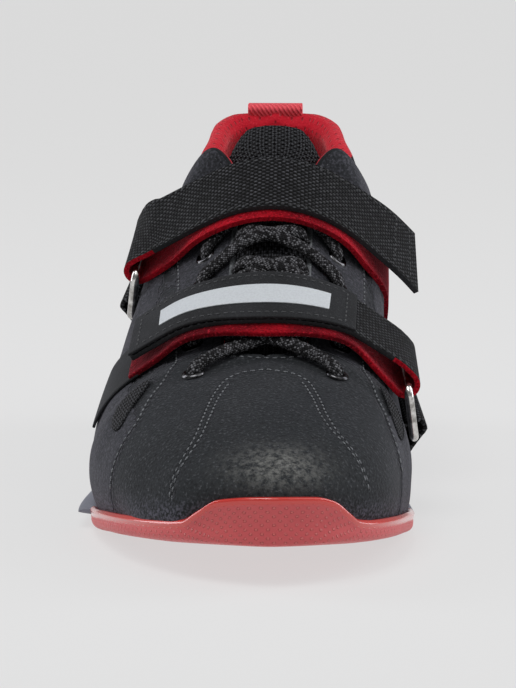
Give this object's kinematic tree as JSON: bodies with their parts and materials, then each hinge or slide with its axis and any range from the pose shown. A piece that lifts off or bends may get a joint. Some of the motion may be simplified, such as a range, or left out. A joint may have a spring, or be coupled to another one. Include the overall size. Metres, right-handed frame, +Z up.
{
  "type": "weightlifting shoe",
  "caption": "Right-foot weightlifting shoe with a raised wedge heel, laced throat, two instep straps that double back through wire rings, and a heel pull loop.",
  "frame": {"origin": "on the ground under the middle of the heel, on the outsole's heel rest face", "axes": "+Z up from the ground; +Y from toe to heel, so the toe points to -Y; +X to the big-toe side of this right shoe"},
  "size_m": [0.114, 0.3028, 0.1237],
  "materials": {
    "outsole": "red moulded rubber, fine dimples",
    "midsole": "grey firm foam wedge, satin",
    "insole": "black fabric over foam",
    "upper": "charcoal nubuck, matt",
    "tongue": "black padded mesh",
    "straps": "black woven webbing, red loop pile inside",
    "patch": "charcoal nubuck, stitched",
    "rings": "polished nickel",
    "eyelets": "small dark-rimmed metal",
    "laces": "black and grey flecked round lace",
    "pull_loop": "red ribbed webbing"
  },
  "bodies": {
    "root": {"outsole": "outsole", "midsole": "midsole", "insole": "insole", "upper": "upper", "tongue": "tongue", "instep_strap": "straps", "vamp_strap": "straps", "instep_ring": "rings", "vamp_ring": "rings", "instep_ring_tab": "straps", "vamp_ring_tab": "straps", "strap_patch": "patch", "pull_loop": "pull_loop", "eyelet_lateral_1": "eyelets", "eyelet_medial_1": "eyelets", "eyelet_lateral_2": "eyelets", "eyelet_medial_2": "eyelets", "eyelet_lateral_3": "eyelets", "eyelet_medial_3": "eyelets", "eyelet_lateral_4": "eyelets", "eyelet_medial_4": "eyelets", "eyelet_lateral_5": "eyelets", "eyelet_medial_5": "eyelets", "eyelet_lateral_6": "eyelets", "eyelet_medial_6": "eyelets", "lace_crossing_1": "laces", "lace_crossing_2": "laces", "lace_crossing_3": "laces", "lace_crossing_4": "laces", "lace_crossing_5": "laces"}
  },
  "joints": []
}
